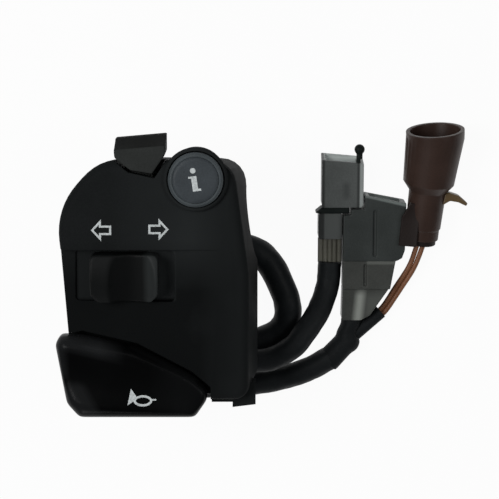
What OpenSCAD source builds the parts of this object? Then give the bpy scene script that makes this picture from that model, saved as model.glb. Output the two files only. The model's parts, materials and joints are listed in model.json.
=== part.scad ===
// Handlebar switch cluster lying face up with its harness.
// X runs along the bar, Y points to the top of the face, Z points out of the face.
// The origin lies on the bar axis. All sizes are in millimetres.

/* [Bar clamp] */
// Diameter of the handlebar
bar_d = 22.2; // [21:0.1:25.4]
// Thickness of the moulded half over the bar
saddle_wall = 3.2; // [2.8:0.1:4]
// Thickness of the rear half under the bar
clamp_wall = 4.9; // [4.6:0.1:6]
// Width of the rear half along the bar
clamp_len = 21; // [20:0.5:21]
// Open gap between the two halves
clamp_gap = 1; // [0.6:0.1:1.4]
// Diameter of the clamp screws
clamp_screw_d = 5; // [4:0.1:5.4]

/* [Housing] */
// Length of the face from top to bottom
housing_len = 66.5; // [66:0.1:70]
// Width of the housing at its foot
housing_w = 49.4; // [48.8:0.1:52]
// How far the left side leans outward at the top
left_lean = 6.7; // [6:0.1:8]
// How far the right side leans inward at the top
right_lean = 4.2; // [2:0.1:4.6]
// How far the face overhangs the back at the top
top_draft = 2.8; // [2:0.1:4]
// How far the back stands out beyond the face on the right
side_draft = 2.4; // [1:0.1:2.8]
// Depth between the saddle and the face
control_depth = 13.7; // [13.6:0.1:15]
// Wall thickness of the shell
wall = 2.2; // [1.8:0.1:2.3]
// Thickness of the base plate
plate_t = 2.4; // [2:0.1:3]
// Radius of the large upper left corner
corner_big = 20; // [18:0.5:21]
// Radius along the edges of the face
edge_r = 2.6; // [1:0.1:3]
// Depth of the tapering recess at the left side
recess_depth = 3.6; // [2.5:0.1:3.7]

/* [Info button] */
// Diameter of the button
info_d = 14.8; // [13:0.1:15]
// Width of the lighter ring around the button
info_ring_w = 1.1; // [0.8:0.1:1.6]
// Travel of the button
info_travel = 1.5; // [0.8:0.1:1.8]

/* [Turn switch] */
// Width of the thumb cap
thumb_w = 18.4; // [17:0.1:19]
// Height of the thumb cap along the face
thumb_l = 13.4; // [12:0.1:13.8]
// Travel of the thumb cap to each side
turn_travel = 4; // [3:0.1:4.2]
// Travel of the thumb cap when it is pushed in
cancel_travel = 1.2; // [0.8:0.1:1.2]

/* [Beam lever] */
// Width of the finger tab
beam_w = 13.6; // [12:0.1:13.8]
// Diameter of the lever pin
beam_pin_d = 2.5; // [2:0.1:2.8]

/* [Horn paddle] */
// Height of the paddle above its pocket floor
paddle_h = 12.4; // [11:0.1:13]
// Diameter of the paddle pin
horn_pin_d = 3; // [2.4:0.1:3.2]

/* [Harness] */
// Diameter of the main loom sleeve
loom_d = 8.2; // [7.4:0.1:8.2]
// Diameter of the sleeve to the slim connector
slim_sleeve_d = 7; // [6.4:0.1:7]
// Diameter of the sleeve to the wide connector
wide_sleeve_d = 7.2; // [6.4:0.1:7.2]
// Diameter of the thin tail sleeve
tail_d = 4; // [3.8:0.1:4.4]
// Diameter of each brown wire
brown_wire_d = 1.4; // [1.2:0.1:1.5]
// Thickness of the slim connector
slim_t = 8.2; // [7.8:0.1:9]
// Thickness of the wide connector
wide_t = 9; // [8.6:0.1:10]
// Diameter of the cup mouth of the brown connector
cup_d = 17.2; // [16.8:0.1:17.4]

/* [Clearances] */
// Gap around pieces that are fixed together
fit = 0.15; // [0.1:0.01:0.2]
// Gap around pieces that slide
slide_gap = 0.3; // [0.3:0.01:0.4]
// Gap of a pin in its turning bore
pin_gap = 0.05; // [0.03:0.01:0.08]
// Shadow gap around the paddle and the finger tab
shadow_gap = 0.8; // [0.6:0.05:0.9]

/* [Hidden] */
bar_r = bar_d / 2;
arch_r = bar_r + saddle_wall;
clamp_r = bar_r + clamp_wall;
table_z = -clamp_r;
clamp_left = -18;
clamp_right = clamp_left + clamp_len;
lug_y = -(bar_r + clamp_screw_d / 2 + 2.6);
screw_x = [clamp_left + clamp_len * 0.25, clamp_left + clamp_len * 0.75];
rear_top = arch_r + 1.2 + fit + wall;
top_y = rear_top + top_draft;
bottom_y = top_y - housing_len;
left_foot = 2.3 - housing_w / 2;
right_foot = 2.3 + housing_w / 2;
right_face = right_foot - side_draft;
face_z = arch_r + control_depth;
left_angle = atan(left_lean / housing_len);
bend_y = top_y - 32;
corner_r = 4;
corner_right = 7;
bend_r = 8;

board_z = arch_r + 0.9;
board_t = 1.6;
board_top = board_z + board_t;
slider_floor = face_z - 3.8;
horn_floor = face_z - 8.5;
ledge_y = top_y - 24.3;

info_x = 10.3;
info_y = top_y - 4.85;
info_r = info_d / 2;
collar_r = info_r + slide_gap + 1;
info_floor = face_z - 5.7;
plunger_y = info_y - 4;
plunger_r = 1.6;
info_low = info_floor + 2 + info_travel;

thumb_x = -9.1;
thumb_y = ledge_y - 0.8 - thumb_l / 2;
thumb_low = slider_floor + cancel_travel + slide_gap;
stem_w = 3.4;
stem_l = 5;
post_w = 6;
post_l = 8;
carriage_low = board_top + 1;
carriage_top = slider_floor - 2 - slide_gap;
carriage_w = 16;
carriage_l = 12;
stop_x = thumb_x + carriage_w / 2 + 5.9;

beam_y = top_y - 9.5;
beam_z = face_z - 6.7;
beam_x = -4.6;
tab_turn = 5;
arm_w = 6.4;
lug_w = 1.8;
spring_room = 3.2;

horn_x = 8;
paddle_right = 13.2;
horn_z = horn_floor + 2.5;
horn_mid = bottom_y + 2.5;
nib_at = [-6, bottom_y + 9.5];
trough_r = 22;
horn_spring_at = [left_foot + 5.3, bottom_y + 9];
boss_at = [[left_foot + 5.8, bottom_y + 5], [right_face - 5.3, bottom_y + 5], [right_face - 5.3, bottom_y + 18]];
boss_top = horn_floor - wall;
rest_at = [[-17, -22.4], [16.4, -21.4]];
gland_at = [3.7, -(arch_r + 16)];
gland_r = 4;
spout = [0, 1, 0];

loom_r = loom_d / 2;
slim_x = 48.4;
cup_r = cup_d / 2;
tail_rear_r = 4.8;
cup_len = 32.6;
shoulder_r = 7.4;
shoulder_at = 17;
// The connector rests on the rim of its rear and on its shoulder
cup_rise = atan((shoulder_r - tail_rear_r) / shoulder_at);
cup_turn = 5;
cup_rear = [75.2, -7, table_z + tail_rear_r * cos(cup_rise)];
cup_axis = [sin(cup_turn) * cos(cup_rise), cos(cup_turn) * cos(cup_rise), sin(cup_rise)];
seal_t = 1.6;

// Node to draw, or all of them

$fn = 48;

// Colours of the finished pieces
c_black = "#26272a";
c_dark = "#1b1c1e";
c_gloss = "#18191b";
c_button = "#3f444b";
c_ring = "#555b63";
c_steel = "#b9bcc0";
c_board = "#2f5a3c";
c_sleeve = "#1d1d1f";
c_grey = "#8d9095";
c_milk = "#c9ccd0";
c_brown = "#4a3530";
c_wire = "#8f5f40";
c_amber = "#b98145";
c_brass = "#b9984f";

// Left side of the housing at a height
function left_x(y) = left_foot - left_lean * (y - bottom_y) / housing_len;

// Points of one rounded corner
function corner(c, r, a, b, n) = [for (i = [0:n]) let (t = a + (b - a) * i / n) c + r * [cos(t), sin(t)]];

// Outline of the housing moved inward, with its own top and right side
function outline(inset, top, right) = let (
    la = 180 + left_angle,
    ra = atan(right_lean / (top - bend_y)),
    big_y = top - corner_big,
    low_y = bottom_y + corner_r,
    tr_y = top - corner_right,
    tr_x = right - right_lean * (tr_y - bend_y) / (top - bend_y) - corner_right / cos(ra)
) concat(
    corner([left_x(big_y) + corner_big / cos(left_angle), big_y], corner_big - inset, 90, la, 16),
    corner([left_x(low_y) + corner_r / cos(left_angle), low_y], corner_r - inset, la, 270, 5),
    corner([right - corner_r, low_y], corner_r - inset, 270, 360, 5),
    corner([right - bend_r, bend_y], bend_r - inset, 0, ra, 2),
    corner([tr_x, tr_y], corner_right - inset, ra, 90, 5)
);

function unit(v) = v / norm(v);
function spot(c, i) = let (n = len(c) - 1)
    i < 0 ? 2 * c[0] - c[1] : i > n ? 2 * c[n] - c[n - 1] : c[i];
function curve(c, i, t) = let (a = spot(c, i - 1), b = spot(c, i), d = spot(c, i + 1), e = spot(c, i + 2))
    0.5 * (2 * b + (d - a) * t + (2 * a - 5 * b + 4 * d - e) * t * t + (3 * b - a - 3 * d + e) * t * t * t);

// Smooth route through chosen points
function route(c, n) = [for (i = [0:len(c) - 2]) for (k = [0:n - 1]) curve(c, i, k / n), c[len(c) - 1]];

// Points of a coil with a given rise, standing on z = 0
function coil(r, rise, turns) = [for (i = [0:turns * 8])
    [r * cos(45 * i), r * sin(45 * i), rise * i / (turns * 8)]];

// Least gap of a coil's wire to its own next turns
function least_gap(p, r) = min([for (i = [0:len(p) - 6]) for (j = [i + 5:len(p) - 1]) norm(p[i] - p[j])]) - 2 * r;

// Round tube swept along a list of points, with end faces square to the given directions
module tube(p, r, sides, start = undef, stop = undef) {
    n = len(p);
    along = [for (i = [0:n - 1])
        i == 0 && !is_undef(start) ? unit(start) :
        i == n - 1 && !is_undef(stop) ? unit(stop) :
        unit(p[min(i + 1, n - 1)] - p[max(i - 1, 0)])];
    rings = [for (i = [0:n - 1])
        let (s = unit(cross(along[i], [0, 0, 1])), u = cross(s, along[i]))
        for (k = [0:sides - 1]) p[i] + r * (cos(360 * k / sides) * s + sin(360 * k / sides) * u)];
    skin = [for (i = [0:n - 2]) for (k = [0:sides - 1])
        let (a = i * sides + k, b = i * sides + (k + 1) % sides)
        each [[a, b, b + sides], [a, b + sides, a + sides]]];
    first = [[for (k = [sides - 1:-1:0]) k]];
    last = [[for (k = [0:sides - 1]) (n - 1) * sides + k]];
    polyhedron(points = rings, faces = concat(first, skin, last), convexity = 6);
}

// Cylinder from one point to another
module rod(a, b, r) {
    v = b - a;
    translate(a)
        rotate([0, acos(v[2] / norm(v)), atan2(v[1], v[0])])
            cylinder(r = r, h = norm(v));
}

// Box given by two opposite corners
module box(a, b) {
    translate(a) cube(b - a);
}

// Box with rounded upright edges
module soft_box(a, b, r) {
    translate([0, 0, a[2]])
        linear_extrude(b[2] - a[2])
            translate([a[0] + r, a[1] + r])
                offset(r = r, $fn = 24)
                    square([b[0] - a[0] - 2 * r, b[1] - a[1] - 2 * r]);
}

module along_x(from, to, r) {
    translate([from, 0, 0]) rotate([0, 90, 0]) cylinder(r = r, h = to - from);
}

// Outer form of the shell, closed and solid
module shell_form() {
    hull() {
        linear_extrude(5) polygon(outline(0, rear_top, right_foot));
        for (a = [0:22.5:90])
            translate([0, 0, face_z - edge_r + edge_r * sin(a) - 0.05])
                linear_extrude(0.05)
                    polygon(outline(edge_r * (1 - cos(a)), top_y, right_face));
    }
}

module inside(top, low_y) {
    intersection() {
        translate([0, 0, -1]) linear_extrude(top + 1) polygon(outline(wall, rear_top, right_face));
        translate([-60, low_y, -2]) cube([120, 120, 80]);
    }
}

// Finger tab seen from the front, grown by a gap
module tab_shape(grow) {
    half = beam_w / 2;
    offset(delta = grow)
        polygon([
            [beam_x - half - 0.7, top_y + 12],
            [beam_x - half, top_y + 1],
            [beam_x - 2.6, top_y - 2.4],
            [beam_x + 3.2, top_y - 3.4],
            [beam_x + half, top_y + 1.8],
            [beam_x + half, top_y + 12]
        ]);
}

// Paddle seen from the front, grown by a gap
module paddle_shape(grow) {
    offset(delta = grow)
        polygon([
            [left_foot - 6.1, bottom_y + 16.2],
            [left_foot - 4.5, bottom_y + 18.8],
            [left_foot + 1.5, bottom_y + 18.4],
            [-6.4, bottom_y + 15.2],
            [8.4, bottom_y + 7.6],
            [paddle_right, bottom_y + 3.6],
            [paddle_right, bottom_y + 0.4],
            [9.8, bottom_y - 4.6],
            [left_foot + 0.3, bottom_y - 4.6],
            [left_foot - 3.2, bottom_y - 0.6]
        ]);
}

module beam_hole(r) {
    translate([0, beam_y, beam_z])
        along_x(beam_x - arm_w / 2 - spring_room - lug_w, beam_x + arm_w / 2 + slide_gap + lug_w, r);
}

module horn_hole(r) {
    translate([horn_x, 0, horn_z]) rotate([90, 0, 0]) cylinder(r = r, h = 200, center = true);
}

module front_shell() color(c_black) {
    lug_left = beam_x - arm_w / 2 - spring_room;
    lug_right = beam_x + arm_w / 2 + slide_gap;
    difference() {
        union() {
            difference() {
                union() {
                    shell_form();
                    box([20, bottom_y - 2.3, 18], [26.4, bottom_y + 4, 22.6]);
                    box([14.2, bottom_y - 0.8, 18], [20.5, bottom_y + 4, 22.6]);
                }
                inside(face_z - wall, ledge_y + wall);
                inside(slider_floor - 2, bottom_y + 22);
                inside(horn_floor - wall, bottom_y);
            }
            hull() {
                translate([info_x, info_y, info_floor - 2]) cylinder(r = collar_r - 1.4, h = 7, $fn = 32);
                translate([info_x + 1.5, info_y - 1, info_floor - 2]) cylinder(r = collar_r - 1.2, h = 7, $fn = 32);
                translate([right_face - 8, top_y - 5, info_floor - 2]) cylinder(r = 3.6, h = 7, $fn = 32);
            }
            translate([info_x, info_y, info_floor - 2])
                cylinder(r1 = collar_r - 0.9, r2 = collar_r, h = face_z - info_floor + 2.9);
            translate([info_x, info_y, face_z + 0.9]) cylinder(r1 = collar_r, r2 = collar_r - 0.5, h = 0.5);
            for (i = [0:2])
                translate([boss_at[i][0], boss_at[i][1], plate_t + fit])
                    cylinder(r = 2.8, h = boss_top - plate_t + 0.5);
            box([lug_left - lug_w, beam_y - 2.6, beam_z - 2.8], [lug_left, beam_y + 2.6, face_z - 1]);
            box([lug_right, beam_y - 2.6, beam_z - 2.8], [lug_right + lug_w, beam_y + 2.6, face_z - 1]);
            box([stop_x, thumb_y - 2, carriage_low], [stop_x + 0.8, thumb_y + 2, slider_floor - 1]);
        }
        // Recess that starts at the ledge and fades out to the right
        translate([0, ledge_y, face_z])
            rotate([90, 0, 0])
                linear_extrude(90)
                    polygon([[17, 0], [-30, -recess_depth * 47 / 43], [-30, 20], [17, 20]]);
        // Pocket and slot of the turn switch
        soft_box([thumb_x - thumb_w / 2 - turn_travel - slide_gap, thumb_y - thumb_l / 2 - slide_gap, slider_floor],
                 [thumb_x + thumb_w / 2 + turn_travel + slide_gap, ledge_y - 0.3, face_z + 9], 1.2);
        box([thumb_x - post_w / 2 - turn_travel - slide_gap, thumb_y - post_l / 2 - slide_gap, slider_floor - 9],
            [thumb_x + post_w / 2 + turn_travel + slide_gap, thumb_y + post_l / 2 + slide_gap, slider_floor + 1]);
        // Pocket of the horn paddle
        translate([0, 0, horn_floor])
            linear_extrude(40)
                union() {
                    paddle_shape(shadow_gap);
                    translate([-50, bottom_y - 30]) square([50 + paddle_right + shadow_gap, 31.2]);
                    translate([-50, bottom_y - 30]) square([27, 46]);
                }
        translate([nib_at[0], nib_at[1], 0]) cylinder(r = 1.6, h = 40);
        // Well of the info button
        translate([info_x, info_y, info_floor]) cylinder(r = info_r - 0.6 + slide_gap, h = 30);
        translate([info_x, info_y, info_low - 0.2]) cylinder(r = info_r + slide_gap, h = 30);
        translate([info_x, plunger_y, 10]) cylinder(r = plunger_r + slide_gap, h = 30);
        // Notch of the beam lever
        intersection() {
            translate([0, 0, beam_z - 6.6]) linear_extrude(40) tab_shape(shadow_gap + 0.4);
            box([beam_x - beam_w / 2 - shadow_gap, 0, 0], [beam_x + beam_w / 2 + shadow_gap, 60, 60]);
        }
        box([beam_x - arm_w / 2 - 0.6, beam_y, beam_z - 4.4], [beam_x + arm_w / 2 + slide_gap, top_y + 5, face_z - wall]);
        box([beam_x - 4, beam_y + 2.7, beam_z - 4.4], [beam_x + 5, beam_y + 7, face_z - wall]);
        beam_hole(beam_pin_d / 2 + 0.02);
        // Passage of the bar and the screw holes
        along_x(-60, 60, bar_r + 0.5);
        for (i = [0:2])
            translate([boss_at[i][0], boss_at[i][1], -1]) cylinder(r = 1.3, h = 11);
    }
    // Bracket for the paddle pin
    difference() {
        union() {
            box([horn_x - 2.6, horn_mid - 1.6, horn_floor - 0.5], [horn_x + 2.6, horn_mid + 1.6, horn_z]);
            translate([horn_x, horn_mid + 1.6, horn_z]) rotate([90, 0, 0]) cylinder(r = 2.6, h = 3.2);
        }
        horn_hole(horn_pin_d / 2 + 0.02);
    }
}

module base_plate() color(c_dark) {
    difference() {
        union() {
            linear_extrude(plate_t) polygon(outline(wall + fit, rear_top, right_face));
            intersection() {
                along_x(-40, 40, arch_r);
                linear_extrude(arch_r + 1) polygon(outline(wall + fit, rear_top, right_face));
            }
            for (x = screw_x)
                translate([x, lug_y, 0]) cylinder(r = clamp_screw_d / 2 + 1.6, h = 9.5);
            for (p = rest_at)
                translate([p[0], p[1], 0]) cylinder(r = 1.6, h = board_z);
            box([-17, -2, arch_r - 1], [16, 2, board_z]);
            box([nib_at[0] - 5, nib_at[1] - 2.5, 0], [nib_at[0] + 5, nib_at[1] + 2.5, horn_floor - wall - 8.8]);
        }
        along_x(-60, 60, bar_r);
        box([clamp_left + 10, bar_r + 1.2 - fit, -1], [clamp_right - 2, bar_r + 2.6 + fit, 2.8 + fit]);
        for (x = screw_x)
            translate([x, lug_y, -1]) cylinder(d = clamp_screw_d, h = 9.2);
        for (p = boss_at) {
            translate([p[0], p[1], -1]) cylinder(r = 1.6, h = 8);
            translate([p[0], p[1], -1]) cylinder(r = 2.7, h = 2.2);
        }
        translate([gland_at[0], gland_at[1], -1]) cylinder(r = gland_r + 0.02, h = 8);
    }
}

module rear_clamp() color(c_dark) {
    difference() {
        union() {
            along_x(clamp_left, clamp_right, clamp_r);
            box([clamp_left, lug_y - clamp_screw_d / 2 - 2.5, -7], [clamp_right, -bar_r, -clamp_gap]);
        }
        along_x(-60, 60, bar_r);
        translate([-60, -60, -clamp_gap]) cube([120, 120, 60]);
        for (x = screw_x) {
            translate([x, lug_y, -20]) cylinder(d = clamp_screw_d + 0.5, h = 30);
            translate([x, lug_y, -20]) cylinder(r = clamp_screw_d / 2 + 2.1, h = 15.4);
        }
    }
    box([clamp_left + 10 + fit, bar_r + 1.2, -3], [clamp_right - 2 - fit, bar_r + 2.6, 2.8]);
}

// Socket head screw with its head down
module cap_screw(x, y, z, d, head_r, head_h, reach) color(c_steel) {
    translate([x, y, z])
        difference() {
            union() {
                cylinder(d = d, h = reach);
                translate([0, 0, -head_h]) cylinder(r = head_r, h = head_h);
            }
            translate([0, 0, -head_h - 0.1]) cylinder(r = head_r * 0.5, h = head_h * 0.6, $fn = 6);
        }
}

module clamp_screws() {
    for (x = screw_x)
        cap_screw(x, lug_y, -4.6, clamp_screw_d - 0.04, clamp_screw_d / 2 + 1.8, clamp_screw_d * 0.55, 12.4);
}

module shell_screws() {
    for (p = boss_at)
        cap_screw(p[0], p[1], 1.2, 2.56, 2.4, 1.1, 8);
}

module circuit_board() color(c_board) {
    translate([0, 0, board_z])
        linear_extrude(board_t)
            polygon([
                [-19, -24.5], [18, -24.5], [18, rear_top - wall - 3.4], [15.2, rear_top - wall - 0.7],
                [-9, rear_top - wall - 0.7], [-19, 5]
            ]);
}

module info_switch() color(c_dark) {
    box([info_x - 2.6, plunger_y - 2.6, board_top], [info_x + 2.6, plunger_y + 2.6, board_top + 1.4]);
    translate([info_x, plunger_y, board_top + 1.4]) cylinder(r = 1.2, h = 0.4);
}

module info_spring() color(c_steel) {
    p = coil(2.6, info_low - info_floor - 0.7, 2);
    echo("info spring, least gap", least_gap(p, 0.3));
    translate([info_x, plunger_y, info_floor + 0.35]) tube(p, 0.3, 6);
}

module info_button() color(c_button) {
    top = face_z + 3.2;
    translate([info_x, info_y, 0])
        union() {
            translate([0, 0, info_low + 2]) cylinder(r = info_r, h = 1.6);
            translate([0, 0, info_low]) cylinder(r = info_r - 0.6, h = 2);
            translate([0, 0, info_low + 3.6]) cylinder(r = info_r - info_ring_w, h = top - info_low - 4);
            translate([0, 0, top - 0.4])
                cylinder(r1 = info_r - info_ring_w, r2 = info_r - info_ring_w - 0.6, h = 0.4);
        }
    translate([info_x, plunger_y, board_top + 2 + info_travel])
        cylinder(r = plunger_r, h = info_low - board_top - 2 - info_travel + 0.2);
}

module info_ring() color(c_ring) {
    top = face_z + 2.7;
    translate([info_x, info_y, info_low + 3.6])
        difference() {
            union() {
                cylinder(r = info_r, h = top - info_low - 4.2);
                translate([0, 0, top - info_low - 4.2]) cylinder(r1 = info_r, r2 = info_r - 0.6, h = 0.6);
            }
            translate([0, 0, -1]) cylinder(r = info_r - info_ring_w, h = 20);
        }
}

module turn_contacts() color(c_brass) {
    for (x = [-6, 0, 6])
        box([thumb_x + x - 1.6, thumb_y - 4.5, board_top], [thumb_x + x + 1.6, thumb_y + 4.5, board_top + 0.6]);
}

module turn_carriage() color(c_grey) {
    difference() {
        union() {
            box([thumb_x - carriage_w / 2, thumb_y - carriage_l / 2, carriage_low],
                [thumb_x + carriage_w / 2, thumb_y + carriage_l / 2, carriage_top]);
            box([thumb_x - post_w / 2, thumb_y - post_l / 2, carriage_low],
                [thumb_x + post_w / 2, thumb_y + post_l / 2, slider_floor]);
        }
        box([thumb_x - stem_w / 2 - pin_gap, thumb_y - stem_l / 2 - pin_gap, carriage_low - 1],
            [thumb_x + stem_w / 2 + pin_gap, thumb_y + stem_l / 2 + pin_gap, slider_floor + 1]);
        for (s = [-1, 1])
            translate([thumb_x + s * carriage_w / 2, thumb_y, (carriage_low + carriage_top) / 2])
                rotate([0, 90, 0]) cylinder(r = 1.9, h = 5, center = true);
    }
}

// Return spring beside the carriage, from the wall to the carriage
module turn_spring(from, to) color(c_steel) {
    p = coil(1.3, to - from, 5);
    echo("turn spring, least gap", least_gap(p, 0.25));
    translate([from, thumb_y, (carriage_low + carriage_top) / 2]) rotate([0, 90, 0]) tube(p, 0.25, 6);
}

module turn_spring_left()
    turn_spring(left_x(thumb_y) + wall + 0.7, thumb_x - carriage_w / 2 + 2.2);

module turn_spring_right()
    turn_spring(thumb_x + carriage_w / 2 - 2.2, stop_x - 0.3);

module thumb_cap() color(c_black) {
    w = thumb_w / 2;
    l = thumb_l / 2;
    difference() {
        intersection() {
            translate([thumb_x, thumb_y, thumb_low])
                linear_extrude(12)
                    offset(r = 1.6, $fn = 24)
                        polygon([
                            [1.6 - w, l - 1.6], [w - 1.6, l - 1.6], [w - 1.6, 3 - l],
                            [w - 2.8, 1.6 - l], [2.6 - w, 1.6 - l], [1.6 - w, 2.8 - l]
                        ]);
            translate([0, thumb_y + 1.5, face_z - 16.4]) along_x(-60, 60, 20.2);
        }
        // Scoop for the thumb, deeper at its lower end
        translate([thumb_x + 2, thumb_y, face_z + 9.6])
            rotate([98, 0, 0]) cylinder(r = 8.6, h = 40, center = true);
    }
    box([thumb_x - stem_w / 2, thumb_y - stem_l / 2, carriage_low + cancel_travel + 0.3],
        [thumb_x + stem_w / 2, thumb_y + stem_l / 2, thumb_low + 0.2]);
}

module beam_lever() color(c_black) {
    difference() {
        union() {
            intersection() {
                linear_extrude(80) tab_shape(0);
                translate([beam_x, top_y + 3.3, 0])
                    rotate([90, 0, 90 + tab_turn])
                        linear_extrude(80, center = true)
                            polygon([
                                [-8, beam_z - 2.4], [-8, face_z + 0.4], [-4.3, face_z + 1.2], [0.4, face_z + 1.2],
                                [2.6, face_z - 7], [2.6, face_z - 10.6], [-2.3, beam_z - 3.4]
                            ]);
            }
            box([beam_x - arm_w / 2, beam_y - 5.5, beam_z - 1.6], [beam_x + arm_w / 2, top_y - 2, beam_z + 1.4]);
            translate([0, beam_y, beam_z]) along_x(beam_x - arm_w / 2, beam_x + arm_w / 2, beam_pin_d / 2 + 1.3);
        }
        beam_hole(beam_pin_d / 2 + pin_gap);
    }
}

module beam_pin() color(c_steel) {
    beam_hole(beam_pin_d / 2);
}

module beam_spring() color(c_steel) {
    p = coil(beam_pin_d / 2 + 0.8, spring_room - 0.8, 2);
    echo("beam spring, least gap", least_gap(p, 0.25));
    translate([beam_x - arm_w / 2 - spring_room + 0.4, beam_y, beam_z]) rotate([0, 90, 0]) tube(p, 0.25, 6);
}

module beam_switch() color(c_dark) {
    box([beam_x - 3, beam_y - 6.6, board_top], [beam_x + 3, beam_y - 2.4, board_top + 1.2]);
    translate([beam_x, beam_y - 4.6, board_top + 1.2]) cylinder(r = 1, h = 0.4);
}

module horn_paddle() color(c_gloss) {
    low = horn_floor + 3.4;
    top = horn_floor + paddle_h;
    layers = [[0, 0.9], [1.6, 0.1], [5.4, 0.1], [7.2, 1], [8.4, 2.6], [9, 5]];
    difference() {
        union() {
            difference() {
                hull()
                    for (k = layers)
                        translate([0, 0, low + k[0] * (top - low) / 9 - 0.05])
                            linear_extrude(0.05) paddle_shape(-k[1]);
                translate([0, 0, low - 1]) linear_extrude(top - low - 2.6) paddle_shape(-3.6);
                // Hollow for the thumb below the raised lip
                translate([left_foot + 13, bottom_y + 6.4, top + trough_r - 1.8])
                    rotate([0, 90, -9]) cylinder(r = trough_r, h = 90, center = true);
            }
            for (s = [-1, 1])
                translate([horn_x, horn_mid + 3 * s + 1.1, horn_z])
                    rotate([90, 0, 0]) cylinder(r = horn_pin_d / 2 + 0.8, h = 2.2);
            for (s = [-1, 1])
                box([horn_x - 2.3, horn_mid + 3 * s - 1.1, horn_z], [horn_x + 2.3, horn_mid + 3 * s + 1.1, top - 3]);
            translate([nib_at[0], nib_at[1], horn_floor + 2.3]) cylinder(r = 1.5, h = top - horn_floor - 5);
        }
        horn_hole(horn_pin_d / 2 + pin_gap);
        translate([horn_x, horn_mid, horn_z])
            rotate([90, 0, 0]) cylinder(r = 2.6 + slide_gap, h = 3.2 + 2 * slide_gap - 0.02, center = true);
    }
}

module horn_pin() color(c_steel) {
    translate([horn_x, horn_mid + 4.1, horn_z]) rotate([90, 0, 0]) cylinder(d = horn_pin_d, h = 8.2);
}

module horn_spring() color(c_steel) {
    p = coil(2.6, paddle_h - 4.4, 4);
    echo("horn spring, least gap", least_gap(p, 0.35));
    translate([horn_spring_at[0], horn_spring_at[1], horn_floor + 0.4]) tube(p, 0.35, 6);
}

module horn_switch() color(c_dark) {
    box([nib_at[0] - 5, nib_at[1] - 2.5, horn_floor - wall - 8.8], [nib_at[0] + 5, nib_at[1] + 2.5, horn_floor - wall - 0.4]);
    translate([nib_at[0], nib_at[1], horn_floor - wall - 0.4]) cylinder(r = 1.2, h = wall + 0.8);
}

gland_z = table_z + loom_r + 0.55;
gland_mid = [gland_at[0], gland_at[1], gland_z];
gland_end = gland_mid + (loom_r + 0.9) * unit(spout);

module loom_gland() color(c_dark) {
    translate([gland_at[0], gland_at[1], gland_z]) cylinder(r = gland_r, h = plate_t - gland_z + 1);
    translate([gland_at[0], gland_at[1], plate_t]) cylinder(r = gland_r + 0.9, h = 1);
    translate([gland_at[0], gland_at[1], -1.6]) cylinder(r = gland_r + 0.9, h = 1.6);
    translate(gland_mid) sphere(r = loom_r + 0.5);
    rod(gland_mid, gland_end, loom_r + 0.4);
}

loom_z = table_z + loom_r + 0.05;
splice_x = 6;
splice_low = [splice_x - 16, -57, table_z];
splice_high = [splice_x, -36, -0.5];
slim_z = table_z + slim_sleeve_d / 2 + 0.05;
wide_z = table_z + wide_sleeve_d / 2 + 0.05;

// Chosen points of each cord, from the gland or splice outward
loom_points = [
    gland_end, [5.6, -16.6, loom_z], [9.6, -12.6, loom_z], [15.4, -10.3, loom_z], [21.8, -9.9, loom_z],
    [27.4, -11.7, loom_z], [31.2, -15.8, loom_z], [33.9, -21.2, loom_z], [35.8, -26.6, loom_z],
    [35.9, -31.6, loom_z], [33.4, -35.6, loom_z], [29, -37.9, loom_z], [23.4, -39.4, loom_z],
    [15, -42.2, loom_z], [splice_x, -44.2, loom_z]
];
slim_points = [
    [splice_x, -41.1, -4.1], [19, -41.5, -4.1], [29.6, -41.7, -4.1], [37, -38.6, -4.2], [41, -34.9, -5.3],
    [44.2, -30.4, -7.8], [46.4, -25.8, -10.4], [48, -20.8, slim_z + 0.3], [slim_x, -14.5, slim_z]
];
wide_points = [
    [splice_x, -52.5, wide_z], [16, -52.1, wide_z], [25.5, -51.6, wide_z], [34.6, -49.9, wide_z],
    [42.2, -47.3, wide_z], [48.6, -43.7, wide_z]
];
wide_last = wide_points[len(wide_points) - 1];

module main_loom() color(c_sleeve) tube(route(loom_points, 2), loom_r, 12, spout, [-1, 0, 0]);

module loom_splice() color(c_sleeve) soft_box(splice_low, splice_high, 3);

module slim_branch() color(c_sleeve) tube(route(slim_points, 2), slim_sleeve_d / 2, 12, [1, 0, 0], [0, 1, 0]);

module wide_branch() color(c_sleeve)
    tube(route(wide_points, 2), wide_sleeve_d / 2, 12, [1, 0, 0], fork - wide_last);

module slim_wires() color(c_milk) {
    for (i = [-2:2])
        translate([slim_x - 0.1 + i * 1.38, -7.3, table_z + slim_sleeve_d / 2])
            rotate([90, 0, 0]) cylinder(d = 1.3, h = 7.2, $fn = 16);
}

module slim_body() color(c_grey) {
    soft_box([slim_x - 3.6, -7.3, table_z], [slim_x + 3.4, 0.5, table_z + slim_t - 1.2], 0.8);
}

module slim_flange() color(c_dark) {
    translate([0, 0, table_z + 2.4])
        linear_extrude(slim_t - 2.8)
            polygon([[slim_x - 4.6, 0.7], [slim_x - 3.6, 0.5], [slim_x + 5.4, 0.5], [slim_x + 5.4, 2.2], [slim_x - 2.8, 2.2]]);
}

module slim_cap() color(c_milk) {
    difference() {
        soft_box([slim_x - 2.7, 2.2, table_z], [slim_x + 9.4, 19.4, table_z + slim_t], 1);
        box([slim_x - 1.6, 4.7, table_z + 1], [slim_x + 8.4, 20, table_z + slim_t - 1]);
        // Slanted mouth
        translate([slim_x - 5, 17.8, table_z - 1]) rotate([9, 0, -5]) cube([30, 10, 20]);
    }
}

module slim_latch() color(c_dark) {
    translate([slim_x + 8.2, 19.1, table_z + slim_t - 2]) sphere(r = 1.5);
    translate([slim_x + 8.2, 19.1, table_z + slim_t - 2]) rotate([90, 0, 0]) cylinder(r = 0.9, h = 2.8);
    box([slim_x + 7.3, 13, table_z + slim_t - 2.9], [slim_x + 8.4, 16.8, table_z + slim_t - 1.1]);
}

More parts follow.
